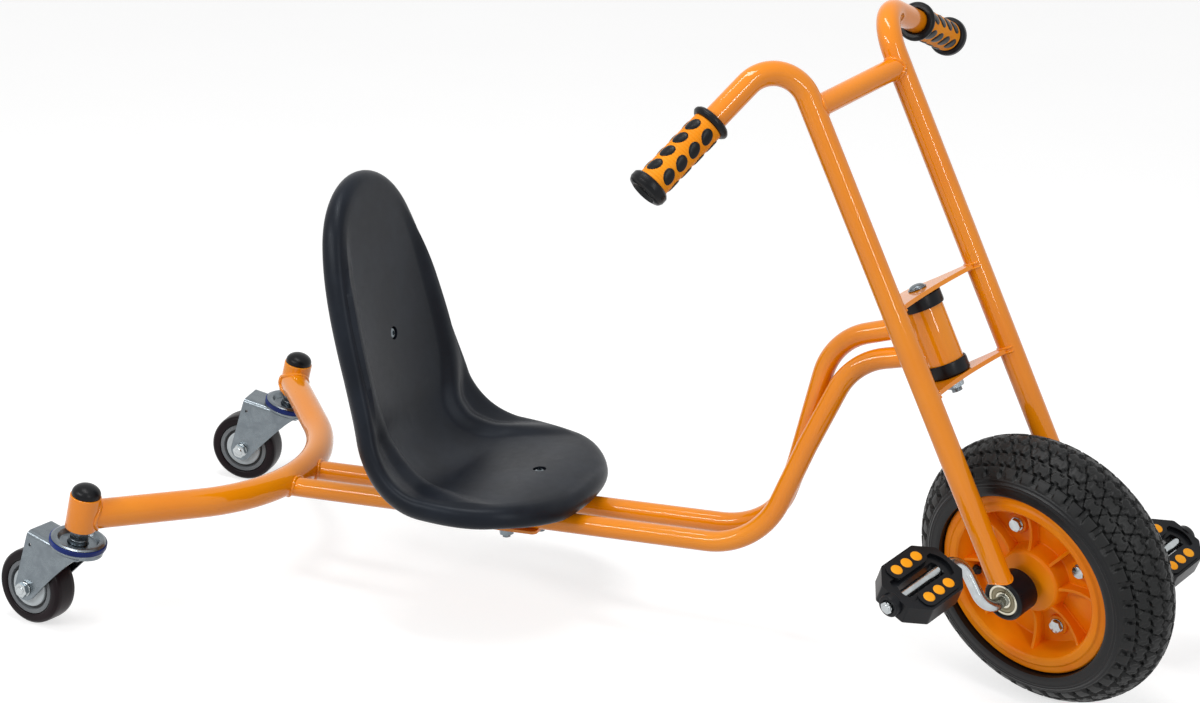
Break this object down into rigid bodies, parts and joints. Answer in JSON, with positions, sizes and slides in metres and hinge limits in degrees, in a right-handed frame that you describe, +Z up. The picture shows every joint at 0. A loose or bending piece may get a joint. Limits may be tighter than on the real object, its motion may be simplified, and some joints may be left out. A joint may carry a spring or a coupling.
{
  "type": "drift trike",
  "caption": "Low children's pedal trike: one driven, steered front wheel, a moulded bucket seat on twin tubes and trailing swivel castors behind",
  "frame": {"origin": "on the floor, under the middle of the whole part", "axes": "+X forward, towards the front wheel; +Y to the rider's left; +Z up; the front end stands steered to the rider's right, as pictured"},
  "size_m": [1.0954, 0.483, 0.616],
  "materials": {
    "orange_paint": "gloss powder coat",
    "black_paint": "satin",
    "rim_plastic": "smooth",
    "black_plastic": "smooth",
    "seat_plastic": "fine grain",
    "grip_rubber": "soft",
    "tyre_rubber": "matt",
    "tube_rubber": "matt",
    "zinc_steel": "bright zinc plate",
    "bearing_steel": "ground",
    "seal_plastic": "smooth",
    "castor_tread": "smooth polyurethane",
    "castor_core": "smooth"
  },
  "bodies": {
    "main_frame": {"rear_bow": "orange_paint", "left_frame_tube": "orange_paint", "right_frame_tube": "orange_paint", "head_tube": "orange_paint", "upper_bearing_cup": "black_plastic", "lower_bearing_cup": "black_plastic", "seat_bracket": "black_paint", "seat_clamp_plate": "black_paint", "seat_pan_bolt": "zinc_steel", "left_clamp_bolt": "zinc_steel", "right_clamp_bolt": "zinc_steel", "seat_back_bolt": "zinc_steel", "seat_shell": "seat_plastic", "left_castor_stem": "zinc_steel", "right_castor_stem": "zinc_steel", "left_socket_plug": "black_plastic", "right_socket_plug": "black_plastic"},
    "fork": {"left_fork_tube": "orange_paint", "right_fork_tube": "orange_paint", "crossbar": "orange_paint", "upper_fork_plate": "orange_paint", "lower_fork_plate": "orange_paint", "steering_bolt": "zinc_steel", "left_grip_core": "black_plastic", "left_grip_sleeve": "grip_rubber", "right_grip_core": "black_plastic", "right_grip_sleeve": "grip_rubber", "left_bearing_housing": "black_plastic", "right_bearing_housing": "black_plastic", "left_wheel_bearing": "bearing_steel", "right_wheel_bearing": "bearing_steel"},
    "front_wheel": {"front_tyre": "tyre_rubber", "inner_tube": "tube_rubber", "left_rim_half": "rim_plastic", "right_rim_half": "rim_plastic", "rim_bolt_1": "zinc_steel", "rim_bolt_2": "zinc_steel", "rim_bolt_3": "zinc_steel", "rim_bolt_4": "zinc_steel", "crank_axle": "zinc_steel", "left_pedal_nut": "zinc_steel", "right_pedal_nut": "zinc_steel"},
    "left_pedal": {"left_pedal_body": "black_plastic", "left_pedal_front_insert": "rim_plastic", "left_pedal_rear_insert": "rim_plastic"},
    "left_castor_fork": {"left_castor_yoke": "zinc_steel", "left_castor_seal": "seal_plastic", "left_castor_bolt": "zinc_steel"},
    "left_castor_wheel": {"left_castor_tread": "castor_tread", "left_castor_core": "castor_core"},
    "right_pedal": {"right_pedal_body": "black_plastic", "right_pedal_front_insert": "rim_plastic", "right_pedal_rear_insert": "rim_plastic"},
    "right_castor_fork": {"right_castor_yoke": "zinc_steel", "right_castor_seal": "seal_plastic", "right_castor_bolt": "zinc_steel"},
    "right_castor_wheel": {"right_castor_tread": "castor_tread", "right_castor_core": "castor_core"}
  },
  "joints": [
    {"name": "steering", "type": "hinge", "parent": "main_frame", "child": "fork", "pos_m": [0.40922, -0.00013, 0.12236], "axis": [-0.421, 0, 0.907], "range_deg": [-49.6, 100.4]},
    {"name": "front_wheel_spin", "type": "hinge", "parent": "fork", "child": "front_wheel", "pos_m": [0.42536, -0.00858, 0.12985], "axis": [0.3891, 0.9033, 0.1806], "continuous": true},
    {"name": "left_pedal_spin", "type": "hinge", "parent": "front_wheel", "child": "left_pedal", "pos_m": [0.50959, 0.12107, 0.10722], "axis": [0.3891, 0.9033, 0.1806], "continuous": true},
    {"name": "right_pedal_spin", "type": "hinge", "parent": "front_wheel", "child": "right_pedal", "pos_m": [0.34112, -0.13823, 0.15249], "axis": [0.3891, 0.9033, 0.1806], "continuous": true},
    {"name": "left_castor_swivel", "type": "hinge", "parent": "main_frame", "child": "left_castor_fork", "pos_m": [-0.45648, 0.21367, 0.09236], "axis": [0.2334, 0, 0.9724], "continuous": true},
    {"name": "left_castor_spin", "type": "hinge", "parent": "left_castor_fork", "child": "left_castor_wheel", "pos_m": [-0.50943, 0.21001, 0.03771], "axis": [-0.0915, 0.9956, 0.022], "continuous": true},
    {"name": "right_castor_swivel", "type": "hinge", "parent": "main_frame", "child": "right_castor_fork", "pos_m": [-0.45648, -0.21393, 0.09236], "axis": [0.2334, 0, 0.9724], "continuous": true},
    {"name": "right_castor_spin", "type": "hinge", "parent": "right_castor_fork", "child": "right_castor_wheel", "pos_m": [-0.50908, -0.20751, 0.03763], "axis": [0.1605, 0.9863, -0.0385], "continuous": true}
  ]
}
